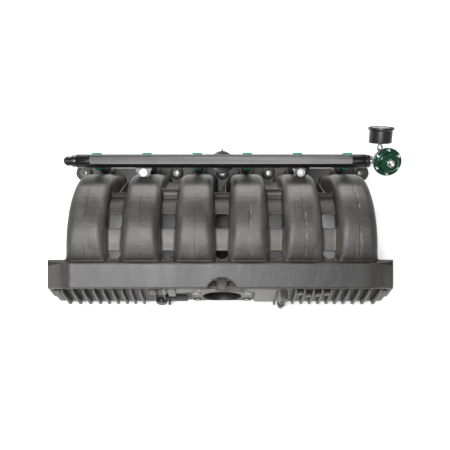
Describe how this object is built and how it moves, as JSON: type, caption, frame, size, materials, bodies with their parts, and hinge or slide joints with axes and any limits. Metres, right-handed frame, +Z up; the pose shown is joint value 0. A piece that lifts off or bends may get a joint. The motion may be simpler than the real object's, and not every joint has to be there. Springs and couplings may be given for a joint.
{
  "type": "intake manifold",
  "caption": "Moulded intake manifold for a straight-six engine with plenum, curved runners, fuel rail, injectors, adjustable fuel pressure regulator and gauge.",
  "frame": {"origin": "centre of the head flange mating face, between the two middle ports", "axes": "+X along the crankshaft, from the rail inlet to the regulator; +Z up as the manifold lies on a bench; +Y from the throttle side to the head side"},
  "size_m": [0.608, 0.2991, 0.1993],
  "materials": {
    "moulded_nylon": "rough moulded",
    "brass": "machined",
    "black_anodised": "black anodised",
    "injector_green": "moulded",
    "green_anodised": "green anodised",
    "rubber": "smooth",
    "black_plastic": "smooth",
    "dial_white": "satin",
    "glass": "clear",
    "needle_red": "satin",
    "silver_steel": "bright zinc"
  },
  "bodies": {
    "manifold": {"bolt_sleeve_1": "silver_steel", "bolt_sleeve_2": "silver_steel", "bolt_sleeve_3": "silver_steel", "bolt_sleeve_4": "silver_steel", "bolt_sleeve_5": "silver_steel", "bonnet_screw_1": "silver_steel", "bonnet_screw_2": "silver_steel", "bonnet_screw_3": "silver_steel", "bonnet_screw_4": "silver_steel", "bonnet_screw_5": "silver_steel", "bonnet_screw_6": "silver_steel", "bracket_bolt_left": "silver_steel", "bracket_bolt_right": "silver_steel", "fuel_rail": "black_anodised", "gauge_case": "black_plastic", "gauge_dial": "dial_white", "gauge_lens": "glass", "gauge_stem": "silver_steel", "head_flange": "moulded_nylon", "injector_1": "injector_green", "injector_2": "injector_green", "injector_3": "injector_green", "injector_4": "injector_green", "injector_5": "injector_green", "injector_6": "injector_green", "inlet_fitting": "black_anodised", "lower_shell": "moulded_nylon", "outlet_collar": "black_anodised", "pulse_damper": "black_anodised", "rail_bracket_left": "silver_steel", "rail_bracket_right": "black_anodised", "regulator_adapter": "silver_steel", "regulator_body": "silver_steel", "regulator_bonnet": "green_anodised", "regulator_spring": "silver_steel", "runner_1": "moulded_nylon", "runner_2": "moulded_nylon", "runner_3": "moulded_nylon", "runner_4": "moulded_nylon", "runner_5": "moulded_nylon", "runner_6": "moulded_nylon", "sensor_plug": "black_plastic", "throttle_insert_1": "brass", "throttle_insert_2": "brass", "throttle_insert_3": "brass", "throttle_insert_4": "brass", "upper_shell": "moulded_nylon", "vacuum_nipple": "brass", "web_1": "moulded_nylon", "web_2": "moulded_nylon", "web_3": "moulded_nylon", "web_4": "moulded_nylon", "web_5": "moulded_nylon"},
    "gauge_needle": {"gauge_needle": "needle_red"},
    "adjusting_screw": {"adjusting_screw": "silver_steel"},
    "spring_seat": {"spring_seat": "silver_steel"},
    "jam_nut": {"jam_nut": "silver_steel"},
    "diaphragm": {"regulator_diaphragm": "rubber"}
  },
  "joints": [
    {"name": "needle_sweep", "type": "hinge", "parent": "manifold", "child": "gauge_needle", "pos_m": [0.28, 0.00896, 0.16253], "axis": [0, -0.6947, -0.7193], "range_deg": [0, 270]},
    {"name": "seat_slide", "type": "slide", "parent": "manifold", "child": "spring_seat", "axis": [0, 0.7193, -0.6947], "range_m": [0, 0.003], "deforming": ["regulator_spring"]},
    {"name": "screw_turn", "type": "hinge", "parent": "spring_seat", "child": "adjusting_screw", "pos_m": [0.29, -0.04857, 0.14441], "axis": [0, 0.7193, -0.6947], "range_deg": [0, 1080]},
    {"name": "jam_nut_turn", "type": "hinge", "parent": "manifold", "child": "jam_nut", "pos_m": [0.29, -0.05426, 0.1499], "axis": [0, -0.7193, 0.6947], "range_deg": [0, 360]},
    {"name": "diaphragm_slide", "type": "slide", "parent": "manifold", "child": "diaphragm", "axis": [0, -0.7193, 0.6947], "range_m": [-0.0008, 0]}
  ],
  "couplings": [
    {"joint": "screw_turn", "follows": "seat_slide", "rad_per_m": 6283.2}
  ]
}
